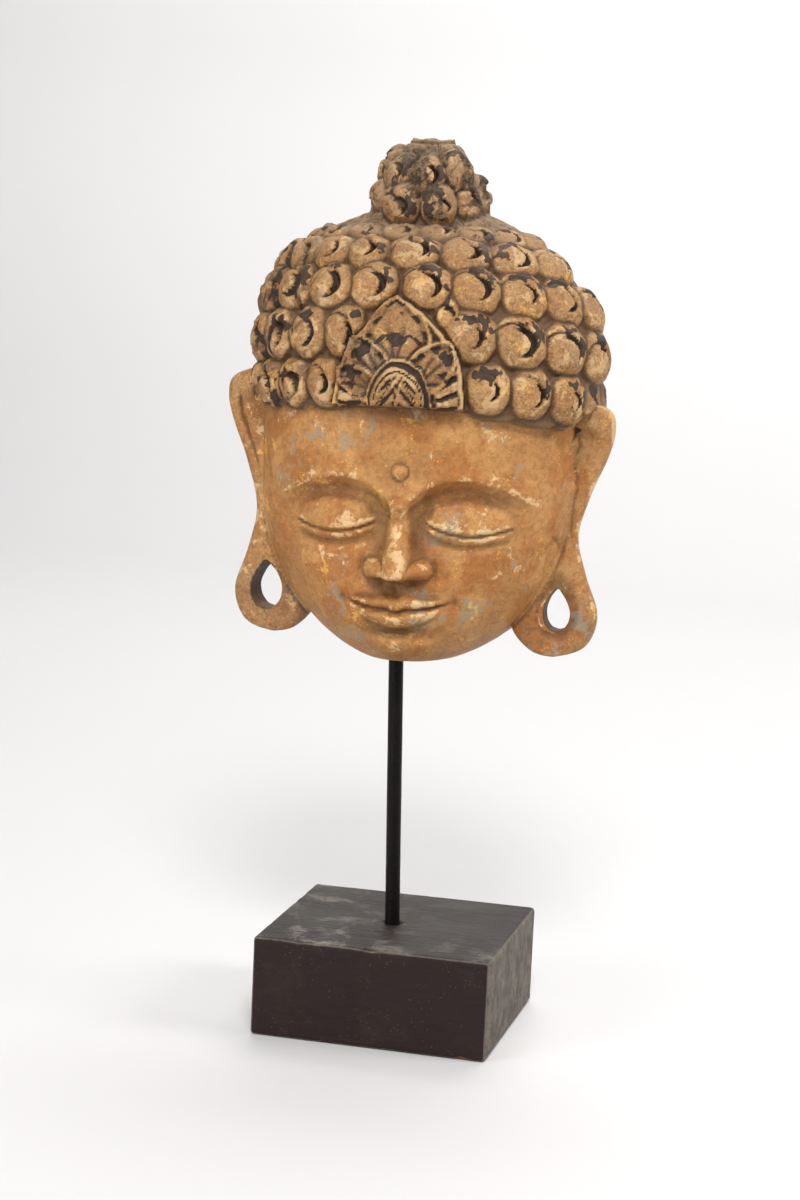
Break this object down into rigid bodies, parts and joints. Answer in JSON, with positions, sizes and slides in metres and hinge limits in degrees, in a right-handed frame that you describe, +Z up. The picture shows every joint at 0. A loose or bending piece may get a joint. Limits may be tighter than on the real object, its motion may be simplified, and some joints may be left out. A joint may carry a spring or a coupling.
{
  "type": "mask on stand",
  "caption": "Carved wooden mask of a calm face under rows of snail curls and a topknot, with long pierced ear lobes, raised on a thin steel rod over a black wooden block.",
  "frame": {"origin": "centre of the block's underside", "axes": "+X to the viewer's right of the face, +Y to the back, so that the mask looks towards -Y, +Z up"},
  "size_m": [0.1637, 0.093, 0.3713],
  "materials": {
    "black_wood": "thin black paint over wood, scuffed and dusty, bare wood at small chips",
    "black_steel": "black satin paint with fine pits",
    "gilt_wood": "rubbed bronze-gold paint over wood, black paint left in the gouges, grey dust in the hollows"
  },
  "bodies": {
    "root": {"base_block": "black_wood", "rod": "black_steel", "mask": "gilt_wood"}
  },
  "joints": []
}
